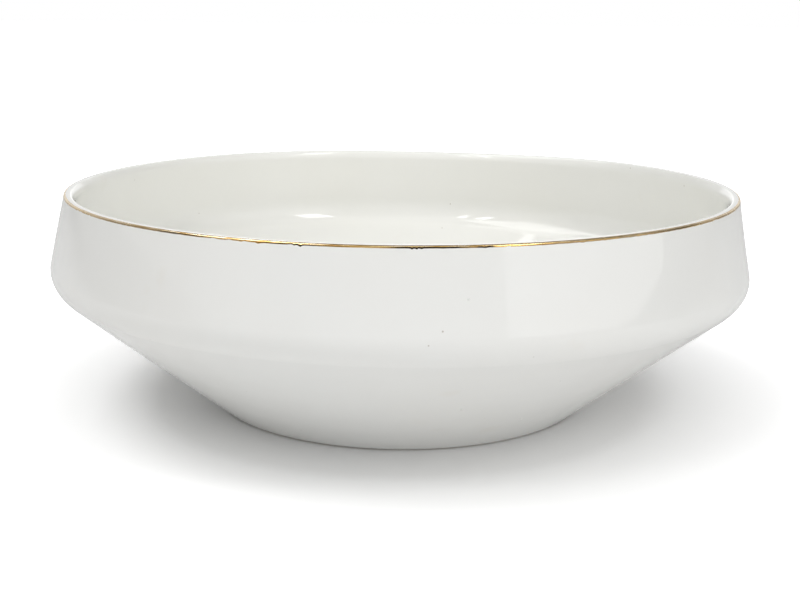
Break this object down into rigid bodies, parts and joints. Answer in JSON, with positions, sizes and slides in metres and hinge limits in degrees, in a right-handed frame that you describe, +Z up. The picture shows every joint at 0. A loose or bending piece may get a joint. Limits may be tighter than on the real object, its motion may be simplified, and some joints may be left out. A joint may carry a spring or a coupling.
{
  "type": "serving bowl",
  "caption": "Round porcelain serving bowl with an inward-leaning upper wall, a soft shoulder, a sloping lower wall on a low foot ring and a gilt line round the lip; holds salad or fruit.",
  "frame": {"origin": "centre of the flat face of the foot ring, on the surface that the bowl stands on", "axes": "+Z up along the bowl's axis; the bowl is round, so +X and +Y are any two square directions"},
  "size_m": [0.25, 0.25, 0.0779],
  "materials": {
    "bare_porcelain": "unglazed fired porcelain, matt and very finely grained",
    "inner_glaze": "clear gloss glaze over ivory porcelain",
    "outer_glaze": "clear gloss glaze over warm white porcelain",
    "gilding": "burnished fired gold, thin and slightly worn"
  },
  "bodies": {
    "root": {"porcelain_body": "bare_porcelain", "inner_glaze": "inner_glaze", "outer_glaze": "outer_glaze", "foot_well_glaze": "outer_glaze", "gilt_rim_line": "gilding"}
  },
  "joints": []
}
